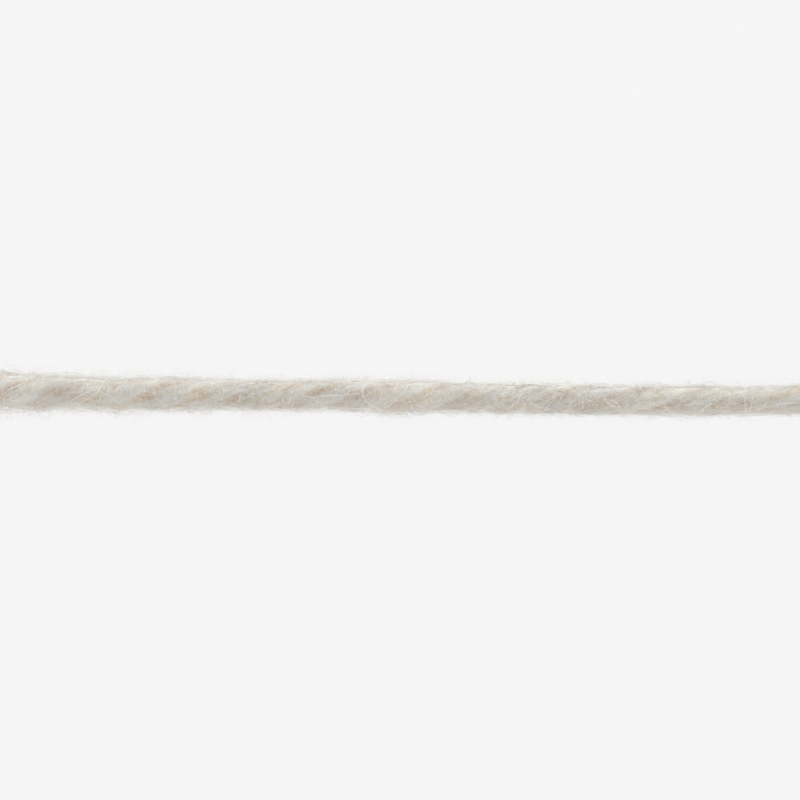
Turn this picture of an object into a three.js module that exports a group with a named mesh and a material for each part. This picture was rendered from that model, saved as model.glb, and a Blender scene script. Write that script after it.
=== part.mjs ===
// A short cut length of soft wool knitting yarn, three plies twisted together, lying straight on a table.
// Millimetres, +Z up. The strand runs along X and the origin is under its middle, on the table.

import * as THREE from 'three';

// Driving dimensions
const STRAND_LENGTH = 80;       // from cut end to cut end
const PLY_COUNT = 3;            // spun plies twisted into the strand
const PLY_DIAMETER = 1.7;       // each ply, pressed into its neighbours along the strand's middle
const STRAND_DIAMETER = 3.0;    // over the crests of the plies, where the strand is of middling thickness
const PRESSED = 0.15;           // how far the crests underneath are flattened by the table

// Fineness of the faces
const POINTS_PER_PLY = 12;      // round each ply's share of a cross-section
const RING_STEP = 0.62;         // along the strand, from one cross-section to the next

const WOOL_COLOUR = 0xd8d0c3;

const PLY_RADIUS = PLY_DIAMETER / 2;
const STRAND_RADIUS = STRAND_DIAMETER / 2;
const ORBIT_RADIUS = STRAND_RADIUS - PLY_RADIUS;
const PLY_TURN = 2 * Math.PI / PLY_COUNT;

// One row for each place where a groove between two plies lies on top, a ply's turn on from the row before:
// x along the strand, side is how far the strand wanders off its line, and full how thick it is there.
const GROOVES_ON_TOP = [
  { x: -43.8, side: 0.01, full: 1.17 },
  { x: -38.4, side: 0.02, full: 1.20 },
  { x: -32.9, side: 0.02, full: 1.21 },
  { x: -27.7, side: -0.01, full: 1.10 },
  { x: -21.2, side: -0.03, full: 1.06 },
  { x: -15.8, side: 0.00, full: 1.03 },
  { x: -11.2, side: 0.00, full: 0.98 },
  { x: -7.1, side: 0.05, full: 0.97 },
  { x: -3.2, side: 0.03, full: 1.01 },
  { x: 1.5, side: 0.00, full: 1.06 },
  { x: 6.2, side: -0.03, full: 0.95 },
  { x: 11.7, side: -0.08, full: 0.97 },
  { x: 17.7, side: -0.05, full: 0.95 },
  { x: 23.2, side: -0.04, full: 0.99 },
  { x: 30.4, side: 0.05, full: 0.93 },
  { x: 37.0, side: 0.07, full: 0.97 },
  { x: 43.6, side: 0.05, full: 0.96 },
];

// A smooth curve through the rows, giving the turn of the plies, the side and the thickness at any x.
const course = new THREE.CubicInterpolant(
  GROOVES_ON_TOP.map((row) => row.x),
  GROOVES_ON_TOP.flatMap((row, index) => [(index + 0.5) * PLY_TURN, row.side, row.full]),
  3,
);

// The outline of the plies pressed together, as a distance from the strand's middle.
// The angle is measured from the crest of the nearest ply.
function plyOutline(angle) {
  const across = ORBIT_RADIUS * Math.sin(angle);
  return ORBIT_RADIUS * Math.cos(angle) + Math.sqrt(PLY_RADIUS ** 2 - across ** 2);
}

// One cross-section, whose points turn with the plies so that the grooves stay sharp.
// Turning runs from the top towards +Y, so the plies rise to the right when seen from above.
function crossSection(x) {
  const [turn, side, full] = course.evaluate(x);
  const height = full * STRAND_RADIUS - PRESSED;
  const count = PLY_COUNT * POINTS_PER_PLY;
  return Array.from({ length: count }, (_, index) => {
    const fromPly = (index % POINTS_PER_PLY) / POINTS_PER_PLY - 0.5;
    const radius = full * plyOutline(fromPly * PLY_TURN);
    const angle = turn + (index / POINTS_PER_PLY - 0.5) * PLY_TURN;
    const y = side + radius * Math.sin(angle);
    const z = height + radius * Math.cos(angle);
    return new THREE.Vector3(x, y, Math.max(z, 0));
  });
}

// The middle of a cut end, where its flat face is fanned from.
function endMiddle(x) {
  const [, side, full] = course.evaluate(x);
  return new THREE.Vector3(x, side, full * STRAND_RADIUS - PRESSED);
}

// The closed skin of the strand: rings of faces along it and a flat fan over each cut end.
function twistedStrand() {
  const steps = Math.round(STRAND_LENGTH / RING_STEP);
  const count = PLY_COUNT * POINTS_PER_PLY;
  const points = [];
  const faces = [];
  for (let step = 0; step <= steps; step += 1) {
    const x = (step / steps - 0.5) * STRAND_LENGTH;
    points.push(...crossSection(x));
  }
  for (let step = 0; step < steps; step += 1) {
    for (let index = 0; index < count; index += 1) {
      const here = step * count + index;
      const beside = step * count + (index + 1) % count;
      faces.push(here, here + count, beside);
      faces.push(beside, here + count, beside + count);
    }
  }
  const left = points.push(endMiddle(-STRAND_LENGTH / 2)) - 1;
  const right = points.push(endMiddle(STRAND_LENGTH / 2)) - 1;
  for (let index = 0; index < count; index += 1) {
    const next = (index + 1) % count;
    faces.push(left, index, next);
    faces.push(right, steps * count + next, steps * count + index);
  }
  const geometry = new THREE.BufferGeometry().setFromPoints(points);
  geometry.setIndex(faces);
  geometry.computeVertexNormals();
  return geometry;
}

function wool() {
  return new THREE.MeshStandardMaterial({ color: WOOL_COLOUR, roughness: 0.95, metalness: 0 });
}

const group = new THREE.Group();

const strand = new THREE.Mesh(twistedStrand(), wool());
strand.name = 'yarn_strand';
group.add(strand);

export default group;
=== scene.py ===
import math
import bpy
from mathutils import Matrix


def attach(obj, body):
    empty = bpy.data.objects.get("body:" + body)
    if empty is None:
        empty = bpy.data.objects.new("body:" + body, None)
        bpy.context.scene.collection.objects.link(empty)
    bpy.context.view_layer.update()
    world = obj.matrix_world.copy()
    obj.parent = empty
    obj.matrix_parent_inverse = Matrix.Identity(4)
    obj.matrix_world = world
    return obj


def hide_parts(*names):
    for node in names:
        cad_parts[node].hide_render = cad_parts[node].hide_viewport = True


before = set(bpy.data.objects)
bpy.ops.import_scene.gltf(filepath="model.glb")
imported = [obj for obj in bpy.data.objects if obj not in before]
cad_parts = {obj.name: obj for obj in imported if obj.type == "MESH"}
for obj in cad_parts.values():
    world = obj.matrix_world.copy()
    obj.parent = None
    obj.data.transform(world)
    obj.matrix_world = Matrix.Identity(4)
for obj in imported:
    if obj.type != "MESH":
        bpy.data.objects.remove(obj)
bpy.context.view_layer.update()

from types import SimpleNamespace

import bpy
import numpy as np
from mathutils import Vector

# Sizes of the strand, in millimetres, as in the part's source
STRAND_LENGTH = 80.0
PLY_COUNT = 3
PLY_DIAMETER = 1.7
STRAND_DIAMETER = 3.0
PRESSED = 0.15

HALF_LENGTH = STRAND_LENGTH / 2
PLY_RADIUS = PLY_DIAMETER / 2
STRAND_RADIUS = STRAND_DIAMETER / 2
ORBIT_RADIUS = STRAND_RADIUS - PLY_RADIUS
FULL_TURN = 2 * math.pi
PLY_TURN = FULL_TURN / PLY_COUNT

# One row for each place where a groove between two plies lies on top, a ply's turn on from the row before:
# x along the strand, how far it wanders to the side, and how thick it is there
GROOVES_ON_TOP = [
    {"x": -43.8, "side": 0.01, "full": 1.17},
    {"x": -38.4, "side": 0.02, "full": 1.20},
    {"x": -32.9, "side": 0.02, "full": 1.21},
    {"x": -27.7, "side": -0.01, "full": 1.10},
    {"x": -21.2, "side": -0.03, "full": 1.06},
    {"x": -15.8, "side": 0.00, "full": 1.03},
    {"x": -11.2, "side": 0.00, "full": 0.98},
    {"x": -7.1, "side": 0.05, "full": 0.97},
    {"x": -3.2, "side": 0.03, "full": 1.01},
    {"x": 1.5, "side": 0.00, "full": 1.06},
    {"x": 6.2, "side": -0.03, "full": 0.95},
    {"x": 11.7, "side": -0.08, "full": 0.97},
    {"x": 17.7, "side": -0.05, "full": 0.95},
    {"x": 23.2, "side": -0.04, "full": 0.99},
    {"x": 30.4, "side": 0.05, "full": 0.93},
    {"x": 37.0, "side": 0.07, "full": 0.97},
    {"x": 43.6, "side": 0.05, "full": 0.96},
]

MM = 0.001                  # a millimetre, in metres
FLOOR_CLEARANCE = 0.015     # how far a fibre's middle stays above the floor


# The strand's course: smooth curves through the rows

def through_rows(x, column):
    """The value of a column at x, on a smooth curve through the rows."""
    xs = np.array([row["x"] for row in GROOVES_ON_TOP])
    if column == "turn":
        ys = (np.arange(len(xs)) + 0.5) * PLY_TURN
    else:
        ys = np.array([row[column] for row in GROOVES_ON_TOP])
    slopes = np.diff(ys) / np.diff(xs)
    tangents = np.concatenate([slopes[:1], (slopes[:-1] + slopes[1:]) / 2, slopes[-1:]])
    x = np.asarray(x, float)
    row = np.clip(np.searchsorted(xs, x) - 1, 0, len(xs) - 2)
    step = xs[row + 1] - xs[row]
    t = (x - xs[row]) / step
    value = ys[row] * (1 + 2 * t) * (1 - t) ** 2
    value += ys[row + 1] * t ** 2 * (3 - 2 * t)
    value += step * t * (1 - t) ** 2 * tangents[row]
    value -= step * t ** 2 * (1 - t) * tangents[row + 1]
    return value


def from_crest(around):
    """The angle from the crest of the nearest ply."""
    return (around + PLY_TURN / 2) % PLY_TURN - PLY_TURN / 2


def ply_outline(around):
    """The distance from the strand's middle to the outline of the plies."""
    across = ORBIT_RADIUS * np.sin(from_crest(around))
    return ORBIT_RADIUS * np.cos(from_crest(around)) + np.sqrt(PLY_RADIUS ** 2 - across ** 2)


def groove_depth(around):
    """0 on a ply's crest and 1 in the groove between two plies."""
    return (np.abs(from_crest(around)) / (PLY_TURN / 2)) ** 2


def middle_height(x):
    """How high the strand's middle lies, in millimetres."""
    return through_rows(x, "full") * STRAND_RADIUS - PRESSED


def placed(x, around, radius, lowest=FLOOR_CLEARANCE):
    """Points at x, at angles that turn with the plies, so far from the strand's middle, in millimetres."""
    angle = through_rows(x, "turn") + around
    y = through_rows(x, "side") + radius * np.sin(angle)
    z = middle_height(x) + radius * np.cos(angle)
    return np.stack([x, y, np.maximum(z, lowest)], axis=-1)


STEEPER = 0.06              # how much more the fibre bundles lean than the plies, in radians a millimetre


def waves(seed, count, most_round, along):
    """A seeded sum of waves that run along the plies: whole numbers round the strand and slow along it."""
    rng = np.random.default_rng(seed)
    round_it = rng.integers(2, most_round, count)
    slow = rng.normal(0, along, count) - STEEPER * round_it
    phase = rng.uniform(0, FULL_TURN, count)
    size = rng.uniform(0.5, 1.0, count)
    size /= np.sqrt((size ** 2).sum() / 2)

    def value(x, around):
        total = np.zeros(np.broadcast(x, around).shape)
        for k, q, p, a in zip(round_it, slow, phase, size):
            total += a * np.sin(k * around + q * x + p)
        return total

    return value


bundles = waves(seed=11, count=26, most_round=36, along=0.8)
slubs = waves(seed=12, count=6, most_round=4, along=0.45)
streaks = waves(seed=13, count=30, most_round=26, along=1.3)
patches = waves(seed=14, count=14, most_round=10, along=1.0)


# Meshes

HAIR_CORNERS = 3            # a hair's cross-section is a triangle
TIP_POINTS = 1.5            # over how many of its points a hair thins out to its tip
TIP_SHARE = 0.25            # how thick it still is at the tip, as a share of its thickness
NEARLY_UPRIGHT = 0.9        # from here on a hair's corners are laid out from +Y instead of from +Z
TINY = 1e-12                # keeps a division from going by zero


def new_mesh(name, points, faces, values):
    """A smooth mesh object from points in millimetres, with named values kept on its points."""
    mesh = bpy.data.meshes.new(name)
    mesh.from_pydata(points * MM, [], faces)
    for key, numbers in values.items():
        mesh.attributes.new(key, "FLOAT", "POINT").data.foreach_set("value", numbers.astype(np.float32))
    mesh.update()
    piece = bpy.data.objects.new(name, mesh)
    bpy.context.scene.collection.objects.link(piece)
    mesh.polygons.foreach_set("use_smooth", np.ones(len(mesh.polygons), bool))
    mesh.update()
    return piece


def ring_faces(rings, count):
    """Triangles between neighbouring rings of points, facing out where a ring turns from the top to +Y."""
    ring = np.arange(rings - 1)[:, None] * count
    here = ring + np.arange(count)[None, :]
    beside = ring + (np.arange(count)[None, :] + 1) % count
    one = np.stack([here, here + count, beside], axis=-1)
    two = np.stack([beside, here + count, beside + count], axis=-1)
    return np.concatenate([one.reshape(-1, 3), two.reshape(-1, 3)])


def hairs(name, lines, thickness, tone, warm):
    """Closed three-sided hairs on many lines at once: lines is hairs by points by 3, in millimetres."""
    count, steps, _ = lines.shape
    along = np.gradient(lines, axis=1)
    along /= np.linalg.norm(along, axis=2, keepdims=True) + TINY
    up = np.zeros_like(along)
    up[..., 2] = 1.0
    up[np.abs(along[..., 2]) > NEARLY_UPRIGHT] = (0.0, 1.0, 0.0)
    one = np.cross(along, up)
    one /= np.linalg.norm(one, axis=2, keepdims=True) + TINY
    two = np.cross(along, one)
    from_tip = np.minimum(np.arange(steps), np.arange(steps)[::-1])
    taper = np.clip(from_tip / TIP_POINTS, TIP_SHARE, 1.0)
    radius = thickness[:, None] / 2 * taper[None, :]
    corners = []
    for corner in range(HAIR_CORNERS):
        turn = FULL_TURN * corner / HAIR_CORNERS
        offset = one * math.cos(turn) + two * math.sin(turn)
        corners.append(lines + offset * radius[..., None])
    points = np.stack(corners, axis=2).reshape(-1, 3)
    points[:, 2] = np.maximum(points[:, 2], 0.0)
    per_hair = HAIR_CORNERS * steps
    tips = np.array([[0, 1, 2], [per_hair - 1, per_hair - 2, per_hair - 3]])
    one_hair = np.concatenate([ring_faces(steps, HAIR_CORNERS)[:, ::-1], tips])
    faces = (np.arange(count)[:, None, None] * per_hair + one_hair[None]).reshape(-1, 3)
    values = {"tone": np.repeat(tone, per_hair), "warmth": np.repeat(warm.ravel(), HAIR_CORNERS)}
    return new_mesh(name, points, faces, values)


# The spun body

CORE_AROUND = 96            # points round a cross-section
CORE_STEP = 0.20            # from one cross-section to the next, in millimetres
CORE_SHARE = 0.70           # the spun body inside its loose fibres, as a share of the strand's thickness
CORE_RELIEF = 0.008         # how far fibre bundles stand out of it, in millimetres
GROOVE_FILL = 0.75          # how much of each groove short fibres fill
SLUB = 0.02                 # how much each ply swells and thins along its length

# Where a ply stands out of one side of the strand in the photo, or lies further in: the side, 1 for +Y and -1
# for -Y, the middle of the place, its length along the strand and how far out it goes, in millimetres
BULGES = [
    {"side": 1, "x": -33.2, "length": 1.0, "out": 0.24},
    {"side": 1, "x": -22.0, "length": 0.8, "out": 0.14},
    {"side": 1, "x": -4.6, "length": 2.0, "out": 0.14},
    {"side": 1, "x": 10.6, "length": 1.2, "out": 0.14},
    {"side": 1, "x": 14.0, "length": 0.7, "out": 0.13},
    {"side": 1, "x": 33.0, "length": 1.5, "out": 0.14},
    {"side": -1, "x": -30.0, "length": 1.0, "out": 0.15},
    {"side": -1, "x": -27.3, "length": 0.7, "out": 0.11},
    {"side": -1, "x": -23.4, "length": 0.9, "out": 0.25},
    {"side": -1, "x": -21.7, "length": 0.8, "out": -0.15},
    {"side": -1, "x": -16.6, "length": 0.8, "out": -0.08},
    {"side": -1, "x": -8.6, "length": 0.7, "out": 0.14},
    {"side": -1, "x": -6.0, "length": 0.8, "out": -0.10},
    {"side": -1, "x": -0.2, "length": 1.8, "out": 0.18},
    {"side": -1, "x": 3.9, "length": 1.2, "out": -0.17},
    {"side": -1, "x": 6.0, "length": 0.7, "out": 0.10},
    {"side": -1, "x": 8.7, "length": 0.7, "out": 0.16},
    {"side": -1, "x": 15.4, "length": 0.8, "out": 0.13},
    {"side": -1, "x": 19.4, "length": 0.9, "out": 0.12},
    {"side": -1, "x": 25.9, "length": 0.8, "out": 0.13},
    {"side": -1, "x": 29.0, "length": 1.2, "out": 0.10},
]

# The cut ends, whose plies open out a little
END_FLARE = 0.25            # how much they open out, as a share of their thickness
FLARE_LENGTH = 0.35         # over what length, in millimetres
END_DOME = 0.16             # how far the cut face bulges, in millimetres
DOME_RINGS = 7
CUT_SEED = 15
CUT_SPECKLE = 2             # how much the cut fibres differ in tone

# How warm the wool's colour is, from 0 to 1
CREST_WARMTH = 0.27
GROOVE_WARMTH_AND_SHADE = 0.38        # how much warmer and darker the grooves are than the crests: partly the wool's own colour, partly painted shade where the plies meet
STREAK_WARMTH = 0.17        # how much it changes from streak to streak
PATCH_WARMTH = 0.16         # and from patch to patch
CUT_WARMTH = 0.25           # on the cut faces
CUT_GROOVE_WARMTH = 0.3     # how much warmer these are where the plies meet
CUT_SPECKLE_WARMTH = 0.1    # how much it changes there from fibre to fibre
CUT_MIDDLE_WARMTH = 0.4


def bulge(x, around):
    """How far the rows of the table move the spun body's surface out."""
    towards = np.sin(through_rows(x, "turn") + around)
    out = np.zeros(towards.shape)
    for row in BULGES:
        along = np.exp(-((x - row["x"]) / row["length"]) ** 2)
        out += row["out"] * along * np.clip(row["side"] * towards, 0, 1) ** 3
    return out


def core_radius(x, around):
    """The spun body: the plies' outline with its bundles of fibre, and plies that swell and thin."""
    outline = ply_outline(around)
    outline = CORE_SHARE * through_rows(x, "full") * (outline + GROOVE_FILL * (STRAND_RADIUS - outline))
    swell = 1 + SLUB * slubs(x, around)
    return outline * swell + CORE_RELIEF * bundles(x, around) + bulge(x, around)


def warmth(x, around):
    """Low where the wool is coolest and palest, on the crests, and high where it is warmest and darkest, most
    of all in the grooves, whose darkening is partly painted shade.
    """
    mixed = STREAK_WARMTH * streaks(x, around) + PATCH_WARMTH * patches(x, around)
    # the grooves are painted warmer and darker: partly the wool's own colour, partly painted shade
    return np.clip(CREST_WARMTH + GROOVE_WARMTH_AND_SHADE * groove_depth(around) + mixed, 0, 1)


def end_flare(x):
    """The spun body's share of its thickness: 1 along the strand, opening out at its cut ends."""
    return 1 + END_FLARE * np.exp(-(HALF_LENGTH - np.abs(x)) / FLARE_LENGTH)


def spun_body():
    """Rings of points along the strand, which close to a middle point over each domed cut end."""
    along = np.linspace(-HALF_LENGTH, HALF_LENGTH, int(round(STRAND_LENGTH / CORE_STEP)) + 1)
    inward = np.arange(1, DOME_RINGS) / DOME_RINGS
    dome = HALF_LENGTH + END_DOME * (1 - (1 - inward) ** 2)
    x = np.concatenate([-dome[::-1], along, dome])[:, None]
    share = np.concatenate([(1 - inward)[::-1], np.ones(len(along)), 1 - inward])[:, None]
    rings = len(x)
    around = np.arange(CORE_AROUND)[None, :] / CORE_AROUND * FULL_TURN
    x, share, around = np.broadcast_arrays(x, share, around)
    within = np.clip(x, -HALF_LENGTH, HALF_LENGTH)
    points = placed(within, around, share * end_flare(within) * core_radius(within, around), lowest=0.0)
    points[..., 0] = x
    points = points.reshape(-1, 3)

    cut_tips = np.random.default_rng(CUT_SEED).normal(0, 1, x.shape)
    cut_warmth = CUT_WARMTH + CUT_GROOVE_WARMTH * groove_depth(around) ** 2 + CUT_SPECKLE_WARMTH * cut_tips
    tone = np.where(share < 1, CUT_SPECKLE * cut_tips, bundles(x, around))
    warm = np.where(share < 1, np.clip(cut_warmth, 0, 1), warmth(x, around))

    middles = []
    caps = []
    for end, first in ((-1, 0), (1, (rings - 1) * CORE_AROUND)):
        at = end * HALF_LENGTH
        middles.append([at + end * END_DOME, float(through_rows(at, "side")), float(middle_height(at))])
        middle = len(points) + len(middles) - 1
        ring = first + np.arange(CORE_AROUND)
        following = first + (np.arange(CORE_AROUND) + 1) % CORE_AROUND
        pair = (ring, following) if end < 0 else (following, ring)
        caps.append(np.stack([np.full(CORE_AROUND, middle), *pair], axis=-1))
    points = np.concatenate([points, np.array(middles)])
    faces = np.concatenate([ring_faces(rings, CORE_AROUND), *caps])
    tone = np.concatenate([tone.ravel(), [0, 0]])
    warm = np.concatenate([warm.ravel(), [CUT_MIDDLE_WARMTH, CUT_MIDDLE_WARMTH]])
    return new_mesh("spun_plies", points, faces, {"tone": tone, "warmth": warm})


# Fibres

PLY_SLOPE = math.radians(28)    # how the plies lean on the strand's surface, from its length towards +Y
SURFACE_SHARE = 0.87        # how far out most fibres lie, as a share of the strand's radius
PAST_CUT = 0.1              # how far fibres may stand past the cut ends, in millimetres
CRIMP_WAVE = (1.0, 2.4)     # the least and greatest length of a wave of crimp, in millimetres
CURL_WAVES = 3

TUCKED_FROM = 1.5           # how far round from the bottom fibres are drawn in under the strand, in radians
TUCKED_FAR = 1.8            # how strongly, towards +Y
TUCKED_NEAR = 0.8           # and towards -Y

# The columns of the kinds of fibre, with lengths in millimetres and angles in radians:
# count, steps: the hairs in a piece, and the points along each
# length, thick: the least and the greatest
# tone: how pale they are, its middle and its spread
# warm_share, warmth: how warm their colour is, as a share of the spun body's, or the same everywhere
# tone: how pale they are, its middle and its spread: the spread is the fibres' own tone, and a middle above 0
# is painted light on fibres that stand off the strand
# curl, crimp: how much they turn on their way, slowly and in short waves
# root: where they begin, 0 on the spun body and 1 on the round over its crests
# lift, waver, wavers: how far they lie above that, and how far and how often they rise and sink on their way
# height, rise: how far they stand out at most, and the power of t with which they get there
# Each height has three numbers: the least, how much more on average, and the most

# The kinds that lie on the strand
LAID = SimpleNamespace(
    seed=100, count=1250, steps=12, length=(1.2, 5.0), thick=(0.016, 0.030), tone=(0, 1),
    spread=0.35, curl=0.35, crimp=0.4, root=0.1, lift=0.15, waver=0.06, wavers=4,
)
CROSSING = SimpleNamespace(
    seed=300, count=2100, steps=12, length=(0.6, 3.6), thick=(0.014, 0.027), tone=(1.2, 0.8),
    warm_share=0.4, spread=math.radians(90), curl=0.8, crimp=0.5, root=0.5, lift=0.25, waver=0.11, wavers=3,
)

# The kinds that stand out of it
FUZZ = SimpleNamespace(
    seed=400, count=9100, steps=4, length=(0.15, 1.2), thick=(0.010, 0.020), tone=(0.6, 0.5), warmth=0.3,
    spread=math.pi, curl=0.5, crimp=0.2, root=0.3, height=(0.06, 0.28, 0.8), rise=0.8,
)
LOOPS = SimpleNamespace(
    seed=500, count=1900, steps=10, length=(0.8, 3.6), thick=(0.012, 0.022), tone=(0.8, 0.5), warmth=0.2,
    spread=0.8, curl=0.7, crimp=0.4, root=0.5, height=(0.15, 0.28, 0.8),
)
FLYAWAYS = SimpleNamespace(
    seed=600, count=120, steps=20, length=(1.5, 5.5), thick=(0.014, 0.022), tone=(0.5, 0.5), warmth=0.3,
    spread=0.7, curl=0.8, crimp=0.3, root=0.5, height=(0.55, 0.5, 2.0), rise=1.3,
)
FUZZ_ROOTS = 0.38           # up to how far above its root line a hair of the fuzz begins, in millimetres
FUZZ_GATHERED = 0.72        # how much the fuzz gathers round one place of the strand's girth, in radians
FUZZ_TURN = 0.25            # how far that place is from +Y towards the bottom, in radians

# The cut tips of the fibres, with count for each end and some columns of their own:
# length: the least, how much more on average, and the most more
# inside: how deep in the strand they begin
# reach: how far from its middle they are at most, as a share of the spun body's radius
# twist, splay: how far they turn round the strand and move outwards or inwards on their way
STUBS = SimpleNamespace(
    seed=700, count=600, steps=5, length=(0.45, 0.12, 0.5), thick=(0.022, 0.036), tone=(0, 1),
    warm_share=0.5, inside=0.25, reach=1.4, twist=0.15, splay=0.1,
)


def wander(rng, count, steps, size, smooth):
    """Smooth random lines, one for each hair, starting at 0."""
    t = np.linspace(0, 1, steps)[None, :]
    total = np.zeros((count, steps))
    for wave in range(1, smooth + 1):
        phase = rng.uniform(0, FULL_TURN, (count, 1))
        height = rng.normal(0, 1, (count, 1)) / wave
        total += height * (np.sin(wave * math.pi * t + phase) - np.sin(phase))
    return size * total


def tucked(spot):
    """Moves the places that face down a little further under the strand, where it presses its fibres down."""
    from_below = (spot % FULL_TURN) - math.pi
    share = np.abs(from_below) / TUCKED_FROM
    power = np.where(from_below < 0, TUCKED_FAR, TUCKED_NEAR)
    return np.where(share < 1, math.pi + from_below * share ** power, spot)


def lying(rng, kind, length, lean, spot=None):
    """Hairs that follow the strand's surface, each round a place of its own: x and angle of their points.

    The lean is each hair's direction from the strand's length, and curl and crimp turn it on its way.
    """
    count = kind.count
    t = np.linspace(0, 1, kind.steps)[None, :]
    wave = rng.uniform(*CRIMP_WAVE, (count, 1))
    phase = rng.uniform(0, FULL_TURN, (count, 1))
    heading = lean[:, None] + wander(rng, count, kind.steps, kind.curl, CURL_WAVES)
    heading = heading + kind.crimp * np.sin(FULL_TURN * length[:, None] * t / wave + phase)
    step = length[:, None] / (kind.steps - 1)
    onward = np.cumsum(np.cos(heading), axis=1) * step
    aside = np.cumsum(np.sin(heading), axis=1) * step
    middle = rng.uniform(-HALF_LENGTH, HALF_LENGTH, (count, 1))
    x = middle + onward - onward.mean(axis=1, keepdims=True)
    cut = HALF_LENGTH + PAST_CUT
    x = x - np.maximum(x.max(axis=1, keepdims=True) - cut, 0)
    x = x + np.maximum(-cut - x.min(axis=1, keepdims=True), 0)
    outer = SURFACE_SHARE * STRAND_RADIUS * through_rows(x, "full")
    if spot is None:
        spot = rng.uniform(0, FULL_TURN, count)
    angle = tucked(spot)[:, None] + (aside - aside.mean(axis=1, keepdims=True)) / outer
    return x, angle - through_rows(x, "turn")


def fluffy(x):
    """The thicker the strand, the further its loose fibres stand off it."""
    return through_rows(x, "full") ** 2


def haze_floor(x, around, share):
    """A distance from the strand's middle: for 0 the spun body's, for 1 that of the round over its crests."""
    near = core_radius(x, around)
    return near + share * (CORE_SHARE * STRAND_RADIUS * through_rows(x, "full") - near)


def lifts(rng, kind):
    """How far the points of hairs that lie on the strand are above their roots."""
    lift = np.abs(rng.normal(0, kind.lift, (kind.count, 1)))
    return lift + np.abs(wander(rng, kind.count, kind.steps, kind.waver, kind.wavers))


def heights(rng, kind):
    """How far hairs stand out at most, a few of them much further than the rest."""
    least, more, most = kind.height
    return np.minimum(least + rng.exponential(more, (kind.count, 1)), most)


def fibre_piece(name, rng, kind, x, around, lift, warm):
    """The hairs of one kind as a piece, whose points are lifted above their roots."""
    lines = placed(x, around, haze_floor(x, around, kind.root) + lift)
    thickness = rng.uniform(*kind.thick, kind.count)
    tone = rng.normal(*kind.tone, kind.count)
    return hairs(name, lines, thickness, tone, warm)


def laid_fibres(piece):
    """Wool fibres that lie roughly along the plies and make up their surface."""
    rng = np.random.default_rng(LAID.seed + piece)
    length = rng.uniform(*LAID.length, LAID.count)
    lean = rng.normal(PLY_SLOPE, LAID.spread, LAID.count)
    x, around = lying(rng, LAID, length, lean)
    lift = fluffy(x) * lifts(rng, LAID)
    return fibre_piece(f"laid_fibres_{piece + 1}", rng, LAID, x, around, lift, warmth(x, around))


def crossing_fibres():
    """Loose curly fibres that lie across the plies in all directions and bridge their grooves."""
    rng = np.random.default_rng(CROSSING.seed)
    length = rng.uniform(*CROSSING.length, CROSSING.count)
    lean = rng.uniform(-1, 1, CROSSING.count) * CROSSING.spread
    x, around = lying(rng, CROSSING, length, lean)
    lift = fluffy(x) * lifts(rng, CROSSING)
    warm = CROSSING.warm_share * warmth(x, around)
    return fibre_piece("crossing_fibres", rng, CROSSING, x, around, lift, warm)


def fuzz(piece):
    """Short fine hairs that stand out of the strand on all sides, more of them towards +Y."""
    rng = np.random.default_rng(FUZZ.seed + piece)
    length = rng.uniform(*FUZZ.length, FUZZ.count)
    lean = rng.uniform(-FUZZ.spread, FUZZ.spread, FUZZ.count)
    spot = rng.uniform(0, FULL_TURN, FUZZ.count)
    spot = spot + FUZZ_GATHERED * np.cos(spot - FUZZ_TURN)
    x, around = lying(rng, FUZZ, length, lean, spot)
    t = np.linspace(0, 1, FUZZ.steps)[None, :]
    root = rng.uniform(0, FUZZ_ROOTS, (FUZZ.count, 1))
    lift = fluffy(x) * (root + heights(rng, FUZZ) * t ** FUZZ.rise)
    return fibre_piece(f"fuzz_{piece + 1}", rng, FUZZ, x, around, lift, np.full(x.shape, FUZZ.warmth))


def loops():
    """Longer fine hairs that leave the strand and come back to it in low loops."""
    rng = np.random.default_rng(LOOPS.seed)
    length = rng.uniform(*LOOPS.length, LOOPS.count)
    lean = rng.normal(PLY_SLOPE / 2, LOOPS.spread, LOOPS.count)
    x, around = lying(rng, LOOPS, length, lean)
    t = np.linspace(0, 1, LOOPS.steps)[None, :]
    lift = fluffy(x) * (heights(rng, LOOPS) * np.sin(math.pi * t))
    return fibre_piece("loops", rng, LOOPS, x, around, lift, np.full(x.shape, LOOPS.warmth))


def flyaways():
    """A few long fine hairs that stand far out of the strand."""
    rng = np.random.default_rng(FLYAWAYS.seed)
    length = rng.uniform(*FLYAWAYS.length, FLYAWAYS.count)
    lean = rng.normal(0, FLYAWAYS.spread, FLYAWAYS.count)
    x, around = lying(rng, FLYAWAYS, length, lean)
    t = np.linspace(0, 1, FLYAWAYS.steps)[None, :]
    lift = heights(rng, FLYAWAYS) * t ** FLYAWAYS.rise
    return fibre_piece("flyaways", rng, FLYAWAYS, x, around, lift, np.full(x.shape, FLYAWAYS.warmth))


def end_stubs():
    """The cut tips of the fibres, which stand a little out of both ends."""
    rng = np.random.default_rng(STUBS.seed)
    count = 2 * STUBS.count
    side = np.repeat([-1.0, 1.0], STUBS.count)[:, None]
    t = np.linspace(0, 1, STUBS.steps)[None, :]
    least, more, most_more = STUBS.length
    length = least + np.minimum(rng.exponential(more, (count, 1)), most_more)
    x = side * (HALF_LENGTH - STUBS.inside + length * t)
    spot = rng.uniform(0, FULL_TURN, (count, 1))
    around = spot + rng.normal(0, STUBS.twist, (count, 1)) * t
    inward = STUBS.reach * np.sqrt(rng.uniform(0, 1, (count, 1)))
    at_end = np.clip(x, -HALF_LENGTH, HALF_LENGTH)
    radius = inward * core_radius(at_end, around) + rng.normal(0, STUBS.splay, (count, 1)) * t
    lines = placed(at_end, around, np.abs(radius))
    lines[..., 0] = x
    thickness = rng.uniform(*STUBS.thick, count)
    tone = rng.normal(*STUBS.tone, count)
    return hairs("end_stubs", lines, thickness, tone, STUBS.warm_share * warmth(at_end, around))


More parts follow.
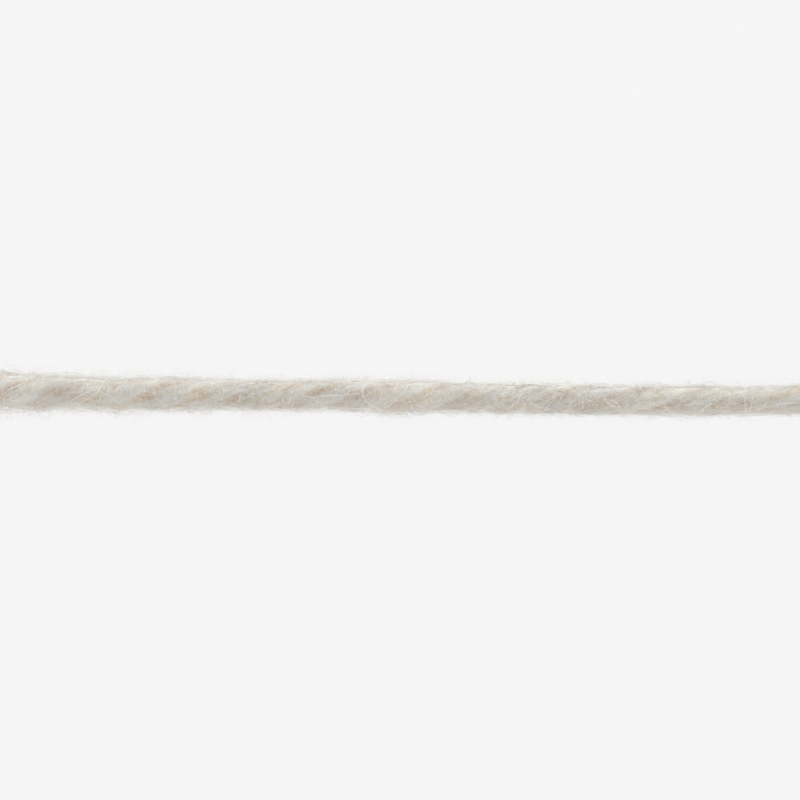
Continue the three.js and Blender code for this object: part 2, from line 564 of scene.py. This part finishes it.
# The hairs that stand out in the photo, drawn on top of the strand: where one starts, its heading in degrees
# from +X towards +Y, its length, how far it turns on its way, and how thick it looks, in millimetres
STRAY_HAIRS = [
    {"x": -32.5, "y": 0.10, "heading": 22, "length": 1.9, "bend": 8, "thick": 0.060},
    {"x": -32.6, "y": -0.30, "heading": -95, "length": 1.4, "bend": -15, "thick": 0.055},
    {"x": -27.6, "y": -1.00, "heading": 38, "length": 2.6, "bend": -18, "thick": 0.060},
    {"x": -26.8, "y": -1.15, "heading": 36, "length": 2.3, "bend": -5, "thick": 0.060},
    {"x": -24.4, "y": 1.00, "heading": -124, "length": 1.6, "bend": 0, "thick": 0.055},
    {"x": -23.9, "y": 0.60, "heading": -125, "length": 0.9, "bend": 20, "thick": 0.070},
    {"x": -23.2, "y": 0.70, "heading": -110, "length": 0.8, "bend": -20, "thick": 0.065},
    {"x": -23.5, "y": 0.10, "heading": 60, "length": 0.9, "bend": -60, "thick": 0.065},
    {"x": -21.2, "y": 0.80, "heading": -85, "length": 0.7, "bend": 10, "thick": 0.045},
    {"x": -18.3, "y": 0.60, "heading": -80, "length": 1.4, "bend": 150, "thick": 0.055},
    {"x": -14.4, "y": -0.40, "heading": 45, "length": 1.5, "bend": -30, "thick": 0.055},
    {"x": -9.3, "y": 0.10, "heading": -20, "length": 1.6, "bend": -250, "thick": 0.055},
    {"x": -8.6, "y": 0.30, "heading": -35, "length": 2.4, "bend": 60, "thick": 0.055},
    {"x": -7.4, "y": -0.20, "heading": -20, "length": 1.9, "bend": -40, "thick": 0.055},
    {"x": -6.7, "y": -0.05, "heading": 2, "length": 3.2, "bend": 6, "thick": 0.065},
    {"x": -3.0, "y": 1.15, "heading": -108, "length": 3.0, "bend": 105, "thick": 0.070},
    {"x": -1.3, "y": -1.05, "heading": 35, "length": 2.6, "bend": 20, "thick": 0.060},
    {"x": 0.7, "y": 0.15, "heading": -80, "length": 1.2, "bend": 15, "thick": 0.070},
    {"x": 8.7, "y": -1.00, "heading": 10, "length": 0.9, "bend": 60, "thick": 0.060},
    {"x": 9.8, "y": -0.55, "heading": 100, "length": 1.0, "bend": -60, "thick": 0.060},
    {"x": 11.8, "y": -1.20, "heading": 48, "length": 2.0, "bend": 10, "thick": 0.055},
    {"x": 14.0, "y": -0.70, "heading": -50, "length": 0.8, "bend": 10, "thick": 0.055},
    {"x": 15.1, "y": 0.35, "heading": -80, "length": 1.3, "bend": -20, "thick": 0.060},
    {"x": 16.9, "y": 0.20, "heading": -70, "length": 1.6, "bend": 75, "thick": 0.065},
    {"x": 17.3, "y": -0.10, "heading": 5, "length": 1.4, "bend": -95, "thick": 0.065},
    {"x": 21.5, "y": -0.60, "heading": 10, "length": 1.5, "bend": -110, "thick": 0.060},
    {"x": 23.4, "y": -0.35, "heading": -30, "length": 1.2, "bend": 100, "thick": 0.060},
    {"x": 24.0, "y": -0.10, "heading": -35, "length": 1.3, "bend": 70, "thick": 0.060},
    {"x": 25.9, "y": -0.25, "heading": 200, "length": 1.8, "bend": 60, "thick": 0.055},
    {"x": 28.6, "y": 0.50, "heading": -95, "length": 1.5, "bend": 20, "thick": 0.060},
    {"x": 29.2, "y": 0.45, "heading": -88, "length": 1.4, "bend": -25, "thick": 0.060},
    {"x": 30.8, "y": -0.35, "heading": 12, "length": 2.4, "bend": -15, "thick": 0.065},
    {"x": 15.0, "y": 1.90, "heading": -50, "length": 1.4, "bend": 25, "thick": 0.028},
]
STRAY_STEPS = 20
STRAY_FINENESS = 0.95       # how much thinner a hair is than it looks
STRAY_PAINTED_LIGHT = 5.0            # how much paler than the other fibres: painted light, for the light these hairs catch on top of the strand


def stray_hairs():
    """The thicker hairs of the table, painted pale for the light they catch, each on a curve that turns
    evenly over the strand's top.
    """
    t = np.linspace(0, 1, STRAY_STEPS)[None, :]
    column = {key: np.array([[row[key]] for row in STRAY_HAIRS]) for key in STRAY_HAIRS[0]}
    heading = np.radians(column["heading"] + column["bend"] * t)
    step = column["length"] / (STRAY_STEPS - 1)
    x = column["x"] + np.cumsum(np.cos(heading), axis=1) * step
    y = column["y"] + np.cumsum(np.sin(heading), axis=1) * step
    outer = STRAND_RADIUS * through_rows(x, "full")
    away = (y - through_rows(x, "side")) / outer
    angle = np.arcsin(np.clip(away, -1, 1))
    radius = outer * np.maximum(1, np.abs(away))
    lines = placed(x, angle - through_rows(x, "turn"), radius)
    thickness = STRAY_FINENESS * column["thick"][:, 0]
    return hairs("stray_hairs", lines, thickness, np.full(len(STRAY_HAIRS), STRAY_PAINTED_LIGHT), np.zeros(x.shape))


# Materials

# The wool's colour from its coolest, palest place to its warmest, darkest one, where the grooves' painted
# shade also lies, and where on the way each is reached
COLOURS = [
    {"at": 0.0, "colour": (0.79, 0.78, 0.75, 1)},
    {"at": 0.45, "colour": (0.77, 0.72, 0.64, 1)},
    {"at": 0.95, "colour": (0.70, 0.59, 0.465, 1)},
]
PATCH_SCALE = 900.0
PATCH_DETAIL = 3.0
PATCH_SHARE = 0.5           # how much the patches change the warmth, up and down together
TONE_STEP = 0.014           # how much lighter one step of tone is
GRAIN_SCALE = 4200.0
GRAIN_DETAIL = 4.0
GRAIN_STRENGTH = 0.5
GRAIN_DEPTH = 0.00004       # in metres
BODY_SCATTER = 0.0012       # how far light goes in the spun body, in metres
FIBRE_SCATTER = 0.0003      # and in a single fibre

# The inputs that every kind of wool shares
WOOL_INPUTS = {
    "Roughness": 0.85,
    "Sheen Weight": 0.15,
    "Sheen Roughness": 0.5,
    "Specular IOR Level": 0.1,
    "Subsurface Radius": (1.0, 0.85, 0.7),
}


def colour_ramp(nodes):
    """A node that turns warmth into the colours of the table."""
    ramp = nodes.new("ShaderNodeValToRGB")
    coolest, middle, warmest = COLOURS
    ramp.color_ramp.elements[0].position = coolest["at"]
    ramp.color_ramp.elements[0].color = coolest["colour"]
    ramp.color_ramp.elements[1].position = warmest["at"]
    ramp.color_ramp.elements[1].color = warmest["colour"]
    ramp.color_ramp.elements.new(middle["at"]).color = middle["colour"]
    return ramp


def noise(nodes, scale, detail):
    """A node of soft noise, finer the greater its scale."""
    texture = nodes.new("ShaderNodeTexNoise")
    texture.inputs["Scale"].default_value = scale
    texture.inputs["Detail"].default_value = detail
    return texture


def calculation(nodes, operation):
    """A node that does one calculation."""
    node = nodes.new("ShaderNodeMath")
    node.operation = operation
    return node


def kept_value(nodes, name):
    """The value of that name which is kept on a mesh's points."""
    node = nodes.new("ShaderNodeAttribute")
    node.attribute_name = name
    return node


def wool(name, lightness_and_painted_light, saturation, translucency, bumpy):
    """Undyed wool: cool and pale on the crests, warmer and darker in the grooves, partly as painted shade,
    lighter and darker from fibre to fibre, and made lighter or darker as a whole by its lightness, which is
    partly painted light and shade.
    """
    material = bpy.data.materials.new(name)
    material.use_nodes = True
    nodes = material.node_tree.nodes
    link = material.node_tree.links.new
    shader = nodes["Principled BSDF"]
    place = nodes.new("ShaderNodeTexCoord")

    patched = noise(nodes, PATCH_SCALE, PATCH_DETAIL)
    link(place.outputs["Object"], patched.inputs["Vector"])
    mixed = calculation(nodes, "MULTIPLY_ADD")
    mixed.inputs[1].default_value = PATCH_SHARE
    link(patched.outputs["Fac"], mixed.inputs[0])
    link(kept_value(nodes, "warmth").outputs["Fac"], mixed.inputs[2])
    shifted = calculation(nodes, "SUBTRACT")
    shifted.inputs[1].default_value = PATCH_SHARE / 2
    link(mixed.outputs[0], shifted.inputs[0])
    ramp = colour_ramp(nodes)
    link(shifted.outputs[0], ramp.inputs["Fac"])

    lighter = calculation(nodes, "MULTIPLY_ADD")
    lighter.inputs[1].default_value = TONE_STEP
    lighter.inputs[2].default_value = lightness_and_painted_light
    link(kept_value(nodes, "tone").outputs["Fac"], lighter.inputs[0])
    colour = nodes.new("ShaderNodeHueSaturation")
    colour.inputs["Saturation"].default_value = saturation
    link(ramp.outputs["Color"], colour.inputs["Color"])
    link(lighter.outputs[0], colour.inputs["Value"])
    link(colour.outputs["Color"], shader.inputs["Base Color"])

    for key, value in WOOL_INPUTS.items():
        shader.inputs[key].default_value = value
    shader.inputs["Subsurface Weight"].default_value = translucency
    shader.inputs["Subsurface Scale"].default_value = BODY_SCATTER if bumpy else FIBRE_SCATTER
    if bumpy:
        grain = noise(nodes, GRAIN_SCALE, GRAIN_DETAIL)
        link(place.outputs["Object"], grain.inputs["Vector"])
        bump = nodes.new("ShaderNodeBump")
        bump.inputs["Strength"].default_value = GRAIN_STRENGTH
        bump.inputs["Distance"].default_value = GRAIN_DEPTH
        link(grain.outputs["Fac"], bump.inputs["Height"])
        link(bump.outputs["Normal"], shader.inputs["Normal"])
    return material


# Camera, light and floor

# The photo's frame: its width and the strand's place in it, in millimetres, and the strand's slope
VIEW_WIDTH = 66.67
SLOPE_DEGREES = 0.688
STRAND_ABOVE_MIDDLE = 0.285
LENS = 100.0
SENSOR = 36.0
NEAREST_SEEN = 0.005        # in metres

# Wide soft lamps, in metres and watts
LAMPS = [
    {"name": "key", "place": (0, 0.60, 0.05), "size": (1.4, 0.09), "power": 5.2, "colour": (0.86, 0.93, 1.0)},
    {"name": "fill", "place": (0, -0.57, 0.17), "size": (1.4, 0.3), "power": 1.1, "colour": (1.0, 1.0, 1.0)},
]
SKY_STRENGTH = 0.853

FLOOR_HALF_WIDTH = 1.0      # in metres
FLOOR_DROP = 0.00002        # how far the floor is under the strand, in metres, so that they share no plane
FLOOR_COLOUR = (0.03, 0.03, 0.03, 1)
FLOOR_GLOW = (1.0, 1.0, 1.0, 1)
FLOOR_GLOW_STRENGTH = 0.889


def camera_above():
    """Looks straight down on the strand, turned a little so that it slopes as in the photo."""
    camera = bpy.data.objects.new("camera", bpy.data.cameras.new("camera"))
    camera.data.lens = LENS
    camera.data.sensor_width = SENSOR
    camera.data.clip_start = NEAREST_SEEN
    height = VIEW_WIDTH * LENS / SENSOR + STRAND_RADIUS
    camera.location = Vector((0, -STRAND_ABOVE_MIDDLE, height)) * MM
    camera.rotation_euler = (0, 0, math.radians(SLOPE_DEGREES))
    bpy.context.scene.collection.objects.link(camera)
    bpy.context.scene.camera = camera


def soft_lamp(row):
    """A wide lamp that faces the strand."""
    lamp = bpy.data.lights.new(row["name"], "AREA")
    lamp.color = row["colour"]
    lamp.shape = "RECTANGLE"
    lamp.size, lamp.size_y = row["size"]
    lamp.energy = row["power"]
    holder = bpy.data.objects.new(row["name"], lamp)
    holder.location = row["place"]
    holder.rotation_euler = (-Vector(row["place"])).to_track_quat("-Z", "Y").to_euler()
    bpy.context.scene.collection.objects.link(holder)


def studio_light():
    """A white sky all round, and the lamps."""
    world = bpy.data.worlds.new("studio")
    world.use_nodes = True
    world.node_tree.nodes["Background"].inputs["Color"].default_value = (1, 1, 1, 1)
    world.node_tree.nodes["Background"].inputs["Strength"].default_value = SKY_STRENGTH
    bpy.context.scene.world = world
    for row in LAMPS:
        soft_lamp(row)


def pale_floor():
    """A plain pale floor that gives off part of its own light, so that the strand hardly shades it."""
    half = FLOOR_HALF_WIDTH
    corners = [(-half, -half, 0), (half, -half, 0), (half, half, 0), (-half, half, 0)]
    mesh = bpy.data.meshes.new("floor")
    mesh.from_pydata(corners, [], [(0, 1, 2, 3)])
    floor = bpy.data.objects.new("floor", mesh)
    bpy.context.scene.collection.objects.link(floor)
    floor.location.z = -FLOOR_DROP
    material = bpy.data.materials.new("pale_floor")
    material.use_nodes = True
    shader = material.node_tree.nodes["Principled BSDF"]
    shader.inputs["Base Color"].default_value = FLOOR_COLOUR
    shader.inputs["Roughness"].default_value = 1.0
    shader.inputs["Specular IOR Level"].default_value = 0.0
    shader.inputs["Emission Color"].default_value = FLOOR_GLOW
    shader.inputs["Emission Strength"].default_value = FLOOR_GLOW_STRENGTH
    floor.data.materials.append(material)


# The scene

LAID_PIECES = 3
FUZZ_PIECES = 2
CORD_POINTS = 33

bpy.context.scene.view_settings.view_transform = "Standard"

camera_above()
studio_light()
pale_floor()

body = spun_body()
laid = [laid_fibres(piece) for piece in range(LAID_PIECES)]
crossing = crossing_fibres()
stray = stray_hairs()
fuzzy = [fuzz(piece) for piece in range(FUZZ_PIECES)]
loose = [*fuzzy, loops(), flyaways(), end_stubs()]

# The kinds share one colour; their lightness and saturation paint light and shade: the spun body darker, as
# painted shade under its fibres, and the fibres that stand off it lighter and whiter, as painted light for
# the light they catch and let through
spun_wool = wool("spun_wool", lightness_and_painted_light=0.87, saturation=1.0, translucency=0.8, bumpy=True)
crossing_wool = wool("crossing_wool", lightness_and_painted_light=1.06, saturation=0.85, translucency=0.0, bumpy=False)
laid_wool = wool("laid_wool", lightness_and_painted_light=0.98, saturation=1.0, translucency=0.0, bumpy=False)
loose_wool = wool("loose_wool", lightness_and_painted_light=1.19, saturation=0.7, translucency=0.0, bumpy=False)

made_of = [(spun_wool, [body]), (laid_wool, laid), (crossing_wool, [crossing, stray]), (loose_wool, loose)]
for material, pieces in made_of:
    for piece in pieces:
        piece.data.materials.append(material)
for piece in [body, *laid, crossing, stray, *loose]:
    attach(piece, "root")
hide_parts("yarn_strand")

line_x = np.linspace(-HALF_LENGTH, HALF_LENGTH, CORD_POINTS)
line = np.stack([line_x, through_rows(line_x, "side"), middle_height(line_x)], axis=-1) * MM
